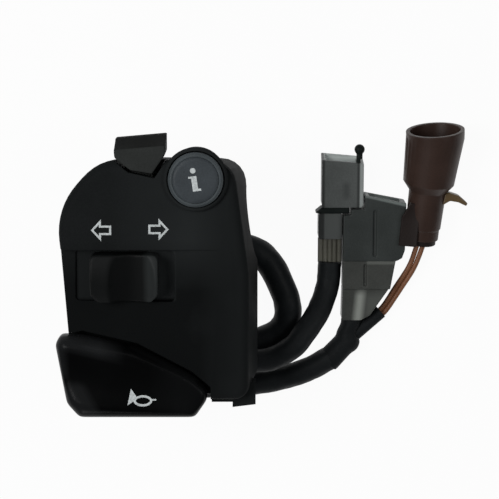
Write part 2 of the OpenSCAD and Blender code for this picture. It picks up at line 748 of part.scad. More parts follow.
module slim_terminals() color(c_brass) {
    for (i = [0:3])
        box([slim_x - 0.6 + i * 2, 4.7, table_z + slim_t / 2 - 0.3], [slim_x + 0.2 + i * 2, 8.6, table_z + slim_t / 2 + 0.5]);
}

module wide_shell() color(c_grey) {
    difference() {
        translate([0, 0, table_z])
            linear_extrude(wide_t)
                polygon([
                    [58.2, 5.9], [70.2, 3.6], [70, -10.2], [69.2, -12.5], [67.6, -13.4],
                    [52, -13.4], [52, 0.1], [54.2, 0.1], [54.2, 1.8], [58.2, 1.8]
                ]);
        box([59.6, -5, table_z + 1.6], [68.5, 20, table_z + wide_t - 1.6]);
        box([60.7, -12, table_z + wide_t - 0.7], [61.7, 1.6, table_z + wide_t + 1]);
    }
}

module wide_cover() color(c_milk) {
    difference() {
        translate([0, 0, table_z])
            linear_extrude(wide_t - 0.5)
                polygon([[52, -13.4], [67.4, -13.4], [65.9, -21.9], [52, -21.9]]);
        box([58.1, -21, table_z + wide_t - 1.2], [59, -14.4, table_z + wide_t + 1]);
    }
}

module wide_boot() color(c_milk) {
    translate([0, 0, table_z])
        linear_extrude(wide_t - 1.2)
            polygon([[52, -21.9], [65.6, -21.9], [60.2, -29.8], [57.4, -31.4], [51.8, -31.4]]);
}

module wide_terminals() color(c_brass) {
    for (i = [0:3])
        box([60.4 + i * 2.1, -5, table_z + wide_t / 2 - 0.4], [61.4 + i * 2.1, -2.4, table_z + wide_t / 2 + 0.4]);
}

fork = [53.7, -38.4, table_z + 3.8];
tail_end = [63.7, -29.8, table_z + 2.6];

module junction_boot() color(c_sleeve) {
    a = wide_last;
    d = unit(tail_end - fork);
    difference() {
        union() {
            rod(a, fork, 3.5);
            translate(fork) sphere(r = 3.8);
            rod(fork, [fork[0], -31.4, fork[2]], 3.2);
        }
        rod(fork + 1.2 * d, fork + 20 * d, tail_d / 2 + 0.02);
    }
}

module tail_sleeve() color(c_sleeve) {
    d = unit(tail_end - fork);
    difference() {
        rod(fork + 1.2 * d, tail_end, tail_d / 2);
        rod(tail_end - 7.6 * d, tail_end + 2 * d, tail_d / 2 - 0.4);
    }
}

// Place of the brown connector, its rear at the origin and its axis along Z
module brown_place() {
    translate(cup_rear)
        rotate([0, 0, -cup_turn])
            rotate([cup_rise - 90, 0, 0])
                children();
}

module brown_outer() {
    rotate_extrude()
        polygon([
            [0, 0], [tail_rear_r, 0], [tail_rear_r, 3], [5.1, 3.4], [5.4, shoulder_at - 2.6], [shoulder_r, shoulder_at],
            [cup_r - 0.2, cup_len - 1], [cup_r - 0.2, cup_len], [0, cup_len]
        ]);
}

module brown_cup() color(c_brown) {
    brown_place()
        difference() {
            brown_outer();
            translate([0, 0, 19.4]) cylinder(r1 = 6.1, r2 = cup_r - 1.3, h = cup_len - 19.3);
        }
}

module brown_seal() color(c_dark) {
    brown_place() translate([0, 0, -seal_t]) cylinder(r = 4.2, h = seal_t);
}

module brown_latch() color(c_amber) {
    difference() {
        translate([0, 0, table_z + 5])
            linear_extrude(4.4)
                polygon([
                    [79.4, 6.2], [82.4, 6.9], [85.4, 5.9], [87.9, 3.7], [87.5, 2.9],
                    [85.2, 4], [82.8, 4.4], [79.4, 2.4]
                ]);
        brown_place() brown_outer();
    }
}

module brown_terminals() color(c_brass) {
    brown_place()
        for (s = [-1, 1])
            translate([s * 2.2 - 0.4, -1.4, 19.4]) cube([0.8, 2.8, 4.4]);
}

// Both brown wires run side by side from inside the tail to the seal
module brown_wire(s) color(c_wire) {
    d = unit(tail_end - fork);
    side = s * (brown_wire_d / 2 + 0.05) * unit(cross(d, [0, 0, 1]));
    a = tail_end - 7.2 * d;
    into = cup_rear - seal_t * cup_axis + s * 0.9 * [cos(cup_turn), -sin(cup_turn), 0];
    tube(route([
        a + side, tail_end - 1.5 * d + side, tail_end + 1.5 * d + side,
        [68.7 + s * 0.64, -22.6 - s * 0.4, table_z + 2.9], [72.6 + s * 0.68, -15.8 - s * 0.32, table_z + 3.9], into
    ], 2), brown_wire_d / 2, 8, d, cup_axis);
}

module brown_wire_left() brown_wire(-1);
module brown_wire_right() brown_wire(1);

front_shell();
base_plate();
rear_clamp();
clamp_screws();
shell_screws();
circuit_board();
info_switch();
info_spring();
info_button();
info_ring();
turn_contacts();
turn_carriage();
turn_spring_left();
turn_spring_right();
thumb_cap();
beam_lever();
beam_pin();
beam_spring();
beam_switch();
horn_paddle();
horn_pin();
horn_spring();
horn_switch();
loom_gland();
main_loom();
loom_splice();
slim_branch();
wide_branch();
slim_wires();
slim_body();
slim_flange();
slim_cap();
slim_latch();
slim_terminals();
wide_shell();
wide_cover();
wide_boot();
wide_terminals();
junction_boot();
tail_sleeve();
brown_wire_left();
brown_wire_right();
brown_cup();
brown_seal();
brown_latch();
brown_terminals();
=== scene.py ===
import json
import math
import bpy
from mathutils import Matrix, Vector, noise

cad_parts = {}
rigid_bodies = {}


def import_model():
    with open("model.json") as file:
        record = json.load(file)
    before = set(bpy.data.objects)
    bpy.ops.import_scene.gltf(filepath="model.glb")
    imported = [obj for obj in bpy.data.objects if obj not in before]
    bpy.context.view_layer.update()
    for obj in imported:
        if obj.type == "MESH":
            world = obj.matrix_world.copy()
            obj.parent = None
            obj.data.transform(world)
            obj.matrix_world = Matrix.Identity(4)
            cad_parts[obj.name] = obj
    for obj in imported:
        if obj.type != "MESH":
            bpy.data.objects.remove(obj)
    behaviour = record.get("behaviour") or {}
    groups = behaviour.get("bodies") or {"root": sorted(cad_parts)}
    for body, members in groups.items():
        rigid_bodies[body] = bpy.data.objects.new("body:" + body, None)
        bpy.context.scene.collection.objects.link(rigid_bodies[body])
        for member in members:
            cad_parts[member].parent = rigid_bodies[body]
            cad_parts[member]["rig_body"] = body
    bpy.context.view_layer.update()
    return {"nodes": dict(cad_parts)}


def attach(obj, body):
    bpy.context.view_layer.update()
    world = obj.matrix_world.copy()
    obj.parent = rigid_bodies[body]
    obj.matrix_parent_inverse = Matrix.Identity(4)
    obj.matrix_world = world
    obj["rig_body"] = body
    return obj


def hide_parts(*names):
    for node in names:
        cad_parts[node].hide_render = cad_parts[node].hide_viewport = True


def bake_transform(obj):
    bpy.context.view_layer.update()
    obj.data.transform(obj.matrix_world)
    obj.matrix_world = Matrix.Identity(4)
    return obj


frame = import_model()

mm = 0.001
scene = bpy.context.scene
scene.view_settings.view_transform = "Standard"
print("frame loaded:", len(frame["nodes"]), "nodes")

# camera and lamps

cameraSet = {
    "place": (0.0247, 0.078606, 0.470465),
    "tilt": -10.5,  # degrees, looks down on the face
    "lens": 120.3,
    "sensor": 36,
}
bpy.ops.object.camera_add(
    location=cameraSet["place"], rotation=(math.radians(cameraSet["tilt"]), 0, 0)
)
camera = bpy.context.object
camera.data.lens = cameraSet["lens"]
camera.data.sensor_width = cameraSet["sensor"]
scene.camera = camera

lampTarget = (0.012, -0.012, 0.01)
lampSet = {
    "frontLeft": {"place": (-0.30, 0.10, 0.50), "size": 0.34, "watts": 2.0},
    "right": {"place": (0.40, 0.05, 0.48), "size": 0.30, "watts": 0.6},
    "lowFront": {"place": (-0.18, -0.62, 0.26), "size": 0.26, "watts": 0.6},
    "above": {"place": (0.16, 0.40, 0.40), "size": 0.3, "watts": 0.2},
}
for lampName, lamp in lampSet.items():
    bpy.ops.object.light_add(type="AREA", location=lamp["place"])
    light = bpy.context.object
    light.name = lampName
    light.data.shape = "DISK"
    light.data.size = lamp["size"]
    light.data.energy = lamp["watts"]
    aim = Vector(lampTarget) - Vector(lamp["place"])
    light.rotation_euler = aim.to_track_quat("-Z", "Y").to_euler()
print("camera and lamps placed")


# shader maths on sockets

class Wire:
    def __init__(self, tree, socket=None):
        self.tree = tree
        self.socket = socket

    def node(self, kind, settings=None, sockets=None, out=0):
        made = self.tree.nodes.new(kind)
        for key, value in (settings or {}).items():
            setattr(made, key, value)
        for key, value in (sockets or {}).items():
            if isinstance(value, Wire):
                self.tree.links.new(value.socket, made.inputs[key])
            else:
                made.inputs[key].default_value = value
        return Wire(self.tree, made.outputs[out] if made.outputs else None)

    def sum(self, operation, first, second):
        return self.node("ShaderNodeMath", {"operation": operation}, {0: first, 1: second})

    def __add__(self, other):
        return self.sum("ADD", self, other)

    def __radd__(self, other):
        return self.sum("ADD", other, self)

    def __sub__(self, other):
        return self.sum("SUBTRACT", self, other)

    def __rsub__(self, other):
        return self.sum("SUBTRACT", other, self)

    def __mul__(self, other):
        return self.sum("MULTIPLY", self, other)

    def clamped(self):
        return self.node("ShaderNodeClamp", None, {"Value": self})

    def between(self, low, high):  # 0 below low, 1 above high
        return self.node(
            "ShaderNodeMapRange", None, {"Value": self, "From Min": low, "From Max": high}
        )

    def swing(self, gain):  # a noise's way up and down from its middle
        return (self - 0.5) * gain


def newMaterial(name):
    material = bpy.data.materials.new(name)
    material.use_nodes = True
    material.node_tree.nodes.clear()
    return material, Wire(material.node_tree)


def closeMaterial(material, wire, sockets):
    surface = wire.node("ShaderNodeBsdfPrincipled", None, sockets)
    wire.node("ShaderNodeOutputMaterial", None, {"Surface": surface})
    return material


def placeOn(wire):
    return wire.node("ShaderNodeTexCoord", out="Object")


def noiseAt(wire, place, scale, detail, distortion=0.0):
    sockets = {"Vector": place, "Scale": scale, "Detail": detail, "Distortion": distortion}
    return wire.node("ShaderNodeTexNoise", None, sockets)


def bumpOf(wire, strength, depth, height, **normal):
    sockets = {"Strength": strength, "Distance": depth, "Height": height}
    return wire.node("ShaderNodeBump", None, {**sockets, **normal})


def mixColour(wire, share, first, second):  # by number: the sockets for colours share their names
    return wire.node("ShaderNodeMix", {"data_type": "RGBA"}, {0: share, 6: first, 7: second}, 2)


def tint(colour, gain):
    return (colour[0] * gain, colour[1] * gain, colour[2] * gain, 1)


def tints(colour, gains):
    return [tint(colour, gain) for gain in gains]


# moulded plastic: cloudy tone, fine grain, edges a little paler, and bands where light and shade
# are painted in as another tone

plasticSet = {
    "cloudDetail": 4, "cloudRange": (0.25, 0.75), "cloudTints": (0.84, 1.16), "cloudRough": 0.16,
    "grainDetail": 2, "grainRange": (0.35, 0.75), "grainShare": 0.5, "grainTint": 0.6,
    "grainRough": 0.1, "grainDepth": 0.0001, "edgeSamples": 6, "edgeTurn": (0.02, 0.25),
    "edgePatches": (0.3, 0.7), "edgeTint": 2.4, "bandPatches": (0.1, 0.5), "bandPatchy": 0.4,
    "bandLeast": 0.6, "bandSoft": 0.25, "coatRough": 0.08,
}


def mouldedPlastic(name, look):
    material, wire = newMaterial(name)
    colour, common = look["colour"], plasticSet
    place = placeOn(wire)
    cloud = noiseAt(wire, place, look["cloud"], common["cloudDetail"])
    grain = noiseAt(wire, place, look["grain"], common["grainDetail"])
    rounded = wire.node(
        "ShaderNodeBevel", {"samples": common["edgeSamples"]}, {"Radius": look["round"]}
    )
    face = wire.node("ShaderNodeNewGeometry", out="Normal")
    facing = wire.node(
        "ShaderNodeVectorMath", {"operation": "DOT_PRODUCT"}, {0: rounded, 1: face}, "Value"
    )
    edge = (1 - facing).between(*common["edgeTurn"]) * cloud.between(*common["edgePatches"])
    clouds = cloud.between(*common["cloudRange"])
    tone = mixColour(wire, clouds, *tints(colour, common["cloudTints"]))
    specks = grain.between(*common["grainRange"]) * common["grainShare"]
    tone = mixColour(wire, specks, tone, tint(colour, common["grainTint"]))
    # paler edges: wear, and painted highlight where edges catch the light
    tone = mixColour(wire, edge * look["wear"], tone, tint(colour, common["edgeTint"]))
    split = wire.node("ShaderNodeSeparateXYZ", None, {"Vector": place})
    spots = [Wire(wire.tree, socket) for socket in split.socket.node.outputs]
    # each band paints light or shade into the base colour over a region
    for band in look.get("bands", []):
        soft = band.get("soft", common["bandSoft"])
        share = cloud.between(*common["bandPatches"]) * common["bandPatchy"] + common["bandLeast"]
        for *weights, limit in band["limits"]:  # in millimetres, inside where the sum is above
            side = sum(spot * (weight / mm) for spot, weight in zip(spots, weights) if weight)
            share = share * side.between(limit - soft, limit + soft)
        tone = mixColour(wire, share, tone, tint(colour, band["gain"]))
    rough = look["rough"] + cloud.swing(common["cloudRough"]) + grain.swing(common["grainRough"])
    return closeMaterial(material, wire, {
        "Base Color": tone,
        "Roughness": rough,
        "Normal": bumpOf(wire, look["bump"], common["grainDepth"], grain, Normal=rounded),
        "Specular IOR Level": look["gloss"],
        "Coat Weight": look.get("coat", 0.0),
        "Coat Roughness": common["coatRough"],
    })


pocketFloor = [(0, 1, -17.7), (0, -1, 4.2), (0, 0, -1, -27.0)]  # the pocket floor under the slider, where painted light is laid over the slider's shade
plasticLooks = {
    "shellBlack": {
        "colour": (0.0124, 0.0137, 0.0140), "rough": 0.55, "gloss": 0.012, "bump": 0.35,
        "grain": 3200, "cloud": 70, "round": 0.0005, "wear": 0.3,
        "bands": [
            {"limits": [(1, 0, -3.0)], "gain": 1.6, "soft": 10.0},  # painted light, paler to the right
            {"limits": [(1, 0, 13.5)], "gain": 1.1, "soft": 4.0},  # painted light, less so at the right edge
            {"limits": [(0, -1, 8.0), (-1, 0, -18.0)], "gain": 0.5, "soft": 7.0},  # painted shade below the ledge
            {"limits": [(1, 0.12, 23.4)], "gain": 0.3, "soft": 0.3},  # painted shade on the right side wall
            # painted light on the pocket floor, lifting its shade, stronger right of the slider
            {"limits": [(1, 0, -22.2), (-1, 0, 8.0), *pocketFloor], "gain": 1.15, "soft": 0.4},
            {"limits": [(1, 0, -3.0), (-1, 0, -4.5), *pocketFloor], "gain": 2.2, "soft": 0.4},
        ],
    },
    "backBlack": {
        "colour": (0.0090, 0.0095, 0.0095), "rough": 0.56, "gloss": 0.16, "bump": 0.45,
        "grain": 2400, "cloud": 60, "round": 0.0004, "wear": 0.3,
    },
    "thumbBlack": {
        "colour": (0.0052, 0.0058, 0.0058), "rough": 0.46, "gloss": 0.1, "bump": 0.3,
        "grain": 3600, "cloud": 120, "round": 0.0006, "wear": 0.6,
        "bands": [
            {"limits": [(1, 0, -12.0), (-1, 0, 4.4)], "gain": 0.6, "soft": 1.2},  # painted shade in the scoop
            {"limits": [(1, 0, -3.4)], "gain": 4.4, "soft": 0.9},  # painted highlight on the right ridge
        ],
    },
    "leverBlack": {
        "colour": (0.0360, 0.0385, 0.0370), "rough": 0.6, "gloss": 0.01, "bump": 0.4,
        "grain": 2800, "cloud": 110, "round": 0.0004, "wear": 0.25,
        "bands": [{"limits": [(-0.087, 1, 24.75)], "gain": 0.36, "soft": 0.15}],  # painted shade on the upper strip
    },
    "paddleGloss": {
        "colour": (0.0020, 0.0021, 0.0022), "rough": 0.3, "gloss": 0.05, "bump": 0.06,
        "grain": 2600, "cloud": 80, "round": 0.0006, "wear": 0.5, "coat": 0.015,
        "bands": [
            {"limits": [(1, 0, 1.0)], "gain": 2.2, "soft": 4.0},  # painted light on the right part
            {"limits": [(-1, 0, 25.2), (0, 1, -38.5)], "gain": 5.0, "soft": 1.0},  # painted highlight on the left corner
            {"limits": [(0.238, 0.971, -35.2), (-0.4, 0, 5.0)], "gain": 7.6, "soft": 1.4},  # painted highlight on the lip
            {"limits": [(0.457, 0.889, -30.4)], "gain": 5.0, "soft": 0.6},  # painted highlight along the sloping edge
            {"limits": [(1, 0, -25.6), (-0.87, -0.49, 37.8), (0, -1, 40.2)],  # painted highlight on the lower left facet
             "gain": 5.0, "soft": 1.1},
        ],
    },
    "buttonGrey": {
        "colour": (0.0480, 0.0570, 0.0640), "rough": 0.5, "gloss": 0.2, "bump": 0.35,
        "grain": 2800, "cloud": 160, "round": 0.0004, "wear": 0.3,
    },
    "ringGrey": {
        "colour": (0.0640, 0.0760, 0.0820), "rough": 0.46, "gloss": 0.25, "bump": 0.25,
        "grain": 3200, "cloud": 160, "round": 0.0003, "wear": 0.4,
    },
    "sliderGrey": {
        "colour": (0.0200, 0.0210, 0.0220), "rough": 0.5, "gloss": 0.3, "bump": 0.3,
        "grain": 3000, "cloud": 120, "round": 0.0003, "wear": 0.3,
    },
    "switchDark": {
        "colour": (0.0120, 0.0120, 0.0130), "rough": 0.42, "gloss": 0.3, "bump": 0.2,
        "grain": 3000, "cloud": 140, "round": 0.0002, "wear": 0.3,
    },
    "glandRubber": {
        "colour": (0.0118, 0.0136, 0.0146), "rough": 0.6, "gloss": 0.1, "bump": 0.5,
        "grain": 2000, "cloud": 120, "round": 0.0004, "wear": 0.15,
    },
    "plugGrey": {
        "colour": (0.0387, 0.0439, 0.0421), "rough": 0.46, "gloss": 0.15, "bump": 0.3,
        "grain": 2600, "cloud": 130, "round": 0.0004, "wear": 0.5,
        "bands": [
            {"limits": [(0.232, 1, 17.0), (0, 0, -1, 9.5)], "gain": 7.0},  # painted light on the inner back wall, over the socket's shade
            {"limits": [(0.232, 1, 19.0)], "gain": 4.2},  # painted highlight on the rim
        ],
    },
    "capMilky": {
        "colour": (0.0940, 0.1014, 0.0983), "rough": 0.4, "gloss": 0.2, "bump": 0.25,
        "grain": 2600, "cloud": 130, "round": 0.0004, "wear": 0.6,
        "bands": [
            {"limits": [(0, 1, 13.5), (0, 0, -1, 9.0)], "gain": 6.9},  # painted light on the inner back wall, over the mouth's shade
            {"limits": [(0, 1, 16.4)], "gain": 4.8},  # painted highlight on the rim
            {"limits": [(1, 0, 56.6)], "gain": 3.0},  # painted highlight on the right strip, and painted shade in the dark line beside it
            {"limits": [(1, 0, 55.9), (-1, 0, -56.6), (0, -1, -15.6)], "gain": 0.4},
            {"limits": [(0, -1, -0.6)], "gain": 0.9},  # body behind the flange
            {"limits": [(-1, 0, -46.5)], "gain": 0.28},  # painted shade on the left side
            {"limits": [(1, 0, 52.2), (-1, 0, -53.4), (0, 1, 5.0), (0, -1, -9.6)],  # dark patch
             "gain": 0.5, "soft": 0.9},
        ],
    },
    "plugMilky": {
        "colour": (0.0571, 0.0601, 0.0548), "rough": 0.4, "gloss": 0.2, "bump": 0.25,
        "grain": 2600, "cloud": 130, "round": 0.0004, "wear": 0.6,
        "bands": [
            {"limits": [(1, 0, 59.0), (-1, 0, -68.2), (0, 1, -14.4), (0, -1, 12.3)],  # painted highlight on the cover's edge
             "gain": 2.0},
            {"limits": [(1, 0, 58.6), (0, -1, 23.5)], "gain": 1.5, "soft": 1.2},  # boot's right
            {"limits": [(1, -0.1, 58.8), (-1, 0.1, -60.4), (0, -1, 22.8)],  # painted highlight, a streak on the boot
             "gain": 6.6, "soft": 1.2},
        ],
    },
    "plugDark": {
        "colour": (0.0080, 0.0110, 0.0102), "rough": 0.48, "gloss": 0.1, "bump": 0.3,
        "grain": 2600, "cloud": 130, "round": 0.0003, "wear": 0.3,
    },
    "plugBrown": {
        "colour": (0.0400, 0.0218, 0.0162), "rough": 0.44, "gloss": 0.25, "bump": 0.3,
        "grain": 2400, "cloud": 110, "round": 0.0005, "wear": 0.8,
    },
    "sealBrown": {
        "colour": (0.0150, 0.0096, 0.0082), "rough": 0.55, "gloss": 0.2, "bump": 0.4,
        "grain": 2400, "cloud": 140, "round": 0.0003, "wear": 0.3,
    },
    "latchAmber": {
        "colour": (0.1150, 0.0750, 0.0330), "rough": 0.38, "gloss": 0.3, "bump": 0.2,
        "grain": 2600, "cloud": 160, "round": 0.0003, "wear": 0.3,
    },
}

# turned or pressed metal: fine drawn lines and a dull bloom

metalSet = {
    "lineScale": 900, "lineDetail": 3, "lineRough": 0.12, "lineBump": 0.18, "lineDepth": 0.00005,
    "bloomScale": 180, "bloomDetail": 4, "bloomRough": 0.2,
    "bloomRange": (0.35, 0.7), "bloomTints": (0.72, 1.05),
}
metalLooks = {
    "steel": {"colour": (0.46, 0.46, 0.47), "rough": 0.34, "lines": (1, 1, 0.08)},
    "contactBrass": {"colour": (0.62, 0.44, 0.18), "rough": 0.3, "lines": (1, 0.1, 1)},
}


def workedMetal(name, look):
    material, wire = newMaterial(name)
    common = metalSet
    place = placeOn(wire)
    drawn = wire.node("ShaderNodeMapping", None, {"Vector": place, "Scale": look["lines"]})
    lines = noiseAt(wire, drawn, common["lineScale"], common["lineDetail"])
    bloom = noiseAt(wire, place, common["bloomScale"], common["bloomDetail"])
    dull = bloom.between(*common["bloomRange"])
    return closeMaterial(material, wire, {
        "Base Color": mixColour(wire, dull, *tints(look["colour"], common["bloomTints"])),
        "Metallic": 1.0,
        "Roughness": look["rough"] + bloom.swing(common["bloomRough"])
        + lines.swing(common["lineRough"]),
        "Normal": bumpOf(wire, common["lineBump"], common["lineDepth"], lines),
    })


# green lacquered board with faint copper lines under the lacquer

boardLooks = {
    "boardGreen": {
        "colour": (0.012, 0.09, 0.035), "rough": 0.3, "cellScale": 160, "cellOffset": 0.5,
        "cellTints": (1.0, 0.85), "lineWidth": 0.06, "lineTint": 1.7,
        "cloudScale": 200, "cloudDetail": 3, "cloudRange": (0.3, 0.8), "cloudShare": 0.4,
        "cloudTint": 0.6, "cloudRough": 0.15, "bump": 0.2, "bumpDepth": 0.00005,
    },
}


def lacqueredBoard(name, look):
    material, wire = newMaterial(name)
    colour = look["colour"]
    place = placeOn(wire)
    first, second = tints(colour, look["cellTints"])
    cells = wire.node("ShaderNodeTexBrick", {"offset": look["cellOffset"]}, {
        "Vector": place, "Scale": look["cellScale"], "Mortar Size": look["lineWidth"],
        "Color1": first, "Color2": second, "Mortar": tint(colour, look["lineTint"]),
    })
    cloud = noiseAt(wire, place, look["cloudScale"], look["cloudDetail"])
    clouds = cloud.between(*look["cloudRange"]) * look["cloudShare"]
    return closeMaterial(material, wire, {
        "Base Color": mixColour(wire, clouds, cells, tint(colour, look["cloudTint"])),
        "Roughness": look["rough"] + cloud.swing(look["cloudRough"]),
        "Normal": bumpOf(wire, look["bump"], look["bumpDepth"], cloud),
    })


# sleeving and wires follow the tube's own map: across in x, along in y

sleevingSet = {
    "creaseScale": 1.0, "creaseDetail": 4, "creaseBend": 0.4, "creaseRough": 0.14,
    "creaseDepth": 0.0004, "dustScale": 1400, "dustDetail": 3, "dustRange": (0.55, 0.8),
    "dustTint": 2.6, "dustHeight": 0.15, "cloudScale": 90, "cloudDetail": 3,
    "cloudRange": (0.3, 0.7), "cloudTints": (0.82, 1.2), "cloudRough": 0.2,
}
sleeveLooks = {
    "sleeveBlack": {"colour": (0.0118, 0.0136, 0.0146), "rough": 0.5, "gloss": 0.12, "bump": 0.35,
                    "dust": 0.25, "folds": (5, 420, 1)},
    "wireBrown": {"colour": (0.2050, 0.0880, 0.0440), "rough": 0.4, "gloss": 0.3, "bump": 0.12,
                  "dust": 0.2, "folds": (3, 700, 1)},
    "wirePale": {"colour": (0.1400, 0.1360, 0.1100), "rough": 0.45, "gloss": 0.3, "bump": 0.12,
                 "dust": 0.2, "folds": (3, 700, 1)},
}


def sleeving(name, look):
    material, wire = newMaterial(name)
    colour, common = look["colour"], sleevingSet
    along = wire.node("ShaderNodeUVMap", {"uv_map": "along"})
    folds = wire.node("ShaderNodeMapping", None, {"Vector": along, "Scale": look["folds"]})
    creases = noiseAt(
        wire, folds, common["creaseScale"], common["creaseDetail"], common["creaseBend"]
    )
    place = placeOn(wire)
    dust = noiseAt(wire, place, common["dustScale"], common["dustDetail"])
    cloud = noiseAt(wire, place, common["cloudScale"], common["cloudDetail"])
    clouds = cloud.between(*common["cloudRange"])
    tone = mixColour(wire, clouds, *tints(colour, common["cloudTints"]))
    specks = dust.between(*common["dustRange"]) * look["dust"]
    height = creases + dust * common["dustHeight"]
    return closeMaterial(material, wire, {
        "Base Color": mixColour(wire, specks, tone, tint(colour, common["dustTint"])),
        "Roughness": look["rough"] + cloud.swing(common["cloudRough"])
        + creases.swing(common["creaseRough"]),
        "Normal": bumpOf(wire, look["bump"], common["creaseDepth"], height),
        "Specular IOR Level": look["gloss"],
    })


# pad printed ink, a little patchy

inkLooks = {
    "printWhite": {
        "colour": (0.66, 0.70, 0.70), "rough": 0.6, "patchScale": 1500, "patchDetail": 3,
        "patchRange": (0.35, 0.75), "patchTints": (1.0, 0.62), "patchRough": 0.2,
    },
}


def printedInk(name, look):
    material, wire = newMaterial(name)
    patches = noiseAt(wire, placeOn(wire), look["patchScale"], look["patchDetail"])
    worn = patches.between(*look["patchRange"])
    return closeMaterial(material, wire, {
        "Base Color": mixColour(wire, worn, *tints(look["colour"], look["patchTints"])),
        "Roughness": look["rough"] + patches.swing(look["patchRough"]),
    })


finishes = {}
for makeFinish, looks in ((mouldedPlastic, plasticLooks), (workedMetal, metalLooks),
                          (lacqueredBoard, boardLooks), (sleeving, sleeveLooks),
                          (printedInk, inkLooks)):
    for finishName, look in looks.items():
        finishes[finishName] = makeFinish(finishName, look)
print("finishes made:", len(finishes))

# floor and surroundings: white to the eye, dim to the object

floorSet = {"level": -0.01606, "side": 4.0, "glow": 0.95, "grey": 0.8}
worldSet = {"dim": 0.10, "dimColour": (0.9, 0.95, 1.0, 1)}
white = (1, 1, 1, 1)


def paleFloor():
    bpy.ops.mesh.primitive_plane_add(size=floorSet["side"], location=(0, 0, floorSet["level"]))
    floor = bpy.context.object
    floor.name = "paleFloor"
    material, wire = newMaterial("paleFloor")
    seen = wire.node("ShaderNodeLightPath", out="Is Camera Ray")
    mirrored = wire.node("ShaderNodeLightPath", out="Is Glossy Ray")
    through = wire.node("ShaderNodeLightPath", out="Is Transmission Ray")
    matt = wire.node("ShaderNodeBsdfDiffuse", None, {"Color": tint(white, floorSet["grey"])})
    glow = wire.node("ShaderNodeEmission", None, {"Color": white, "Strength": 1.0})
    share = (seen + mirrored + through).clamped() * floorSet["glow"]
    surface = wire.node("ShaderNodeMixShader", None, {0: share, 1: matt, 2: glow})
    wire.node("ShaderNodeOutputMaterial", None, {"Surface": surface})
    floor.data.materials.append(material)


def paleWorld():
    world = bpy.data.worlds.new("studio")
    world.use_nodes = True
    world.node_tree.nodes.clear()
    scene.world = world
    wire = Wire(world.node_tree)
    seen = wire.node("ShaderNodeLightPath", out="Is Camera Ray")
    dimSockets = {"Color": worldSet["dimColour"], "Strength": worldSet["dim"]}
    dim = wire.node("ShaderNodeBackground", None, dimSockets)
    bright = wire.node("ShaderNodeBackground", None, {"Color": white, "Strength": 1.0})
    surface = wire.node("ShaderNodeMixShader", None, {0: seen, 1: dim, 2: bright})
    wire.node("ShaderNodeOutputWorld", None, {"Surface": surface})


paleFloor()
paleWorld()
print("stage set")

# small helpers for meshes

meshSet = {
    "weld": 0.000002,  # metres
    "flat": 1,  # degrees under which faces become one
    "mouldedAngle": 32, "cordAngle": 50, "coilAngle": 60,  # edges sharper than this stay sharp
}


def makeActive(piece):
    bpy.ops.object.select_all(action="DESELECT")
    piece.select_set(True)
    bpy.context.view_layer.objects.active = piece


def editAll(piece):
    makeActive(piece)
    bpy.ops.object.mode_set(mode="EDIT")
    bpy.ops.mesh.select_all(action="SELECT")


def endEdit():
    bpy.ops.object.mode_set(mode="OBJECT")


def applyModifier(piece, kind, settings):
    modifier = piece.modifiers.new(kind.lower(), kind)
    for key, value in settings.items():
        setattr(modifier, key, value)
    makeActive(piece)
    bpy.ops.object.modifier_apply(modifier=modifier.name)


def shadeSmooth(piece, angle):
    makeActive(piece)
    bpy.ops.object.shade_smooth_by_angle(angle=math.radians(meshSet[angle]))


def joinParts(parts):
    makeActive(parts[0])
    for part in parts:
        part.select_set(True)
    if len(parts) > 1:
        bpy.ops.object.join()
    return parts[0]


def pickPoints(part, rule):  # edit mode with the points that the rule names, in millimetres
    makeActive(part)
    bpy.ops.object.mode_set(mode="EDIT")
    bpy.context.tool_settings.mesh_select_mode = (True, False, False)
    bpy.ops.mesh.select_all(action="DESELECT")
    endEdit()
    for point in part.data.vertices:
        point.select = rule(point.co / mm)
    bpy.ops.object.mode_set(mode="EDIT")


def movePoints(part, rule, shift, **drawing):
    pickPoints(part, rule)
    bpy.ops.transform.translate(value=(shift[0] * mm, shift[1] * mm, 0), **drawing)
    endEdit()


def nudge(part, middle, reach, shift, spread):  # points near a place, their neighbours with them
    movePoints(
        part, lambda spot: (spot.xy - Vector(middle)).length < reach, shift,
        use_proportional_edit=True, proportional_edit_falloff="SMOOTH",
        proportional_size=spread * mm,
    )


def dress(piece, finish):
    piece.data.materials.clear()
    piece.data.materials.append(finishes[finish])


def settle(piece, body, slotName, finish, *nodes):
    dress(piece, finish)
    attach(piece, body)
    if nodes:
        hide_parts(*nodes)
    return piece


def joinedCopy(node, name):  # a CAD node's own form with its faces joined up
    piece = bpy.data.objects.new(name, frame["nodes"][node].data.copy())
    scene.collection.objects.link(piece)
    makeActive(piece)
    bpy.ops.mesh.customdata_custom_splitnormals_clear()
    editAll(piece)
    bpy.ops.mesh.remove_doubles(threshold=meshSet["weld"])
    bpy.ops.mesh.dissolve_limited(angle_limit=math.radians(meshSet["flat"]))
    endEdit()
    return piece


# such a copy with soft moulded edges, or only above a level where the rest runs in guides
def softened(node, name, slotName, finish, voxel=None, relax=0, above=None):
    piece = joinedCopy(node, name)
    if voxel:
        applyModifier(piece, "REMESH", {"mode": "VOXEL", "voxel_size": voxel})
        easing = {"factor": 0.5, "iterations": relax}
        if above is not None:
            group = piece.vertex_groups.new(name="eased")
            upper = [point.index for point in piece.data.vertices if point.co.z > above]
            group.add(upper, 1.0, "REPLACE")
            easing["vertex_group"] = group.name
        applyModifier(piece, "SMOOTH", easing)
        piece.vertex_groups.clear()
    shadeSmooth(piece, "mouldedAngle")
    return settle(piece, frame["nodes"][node]["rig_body"], slotName, finish, node)


# shell and controls

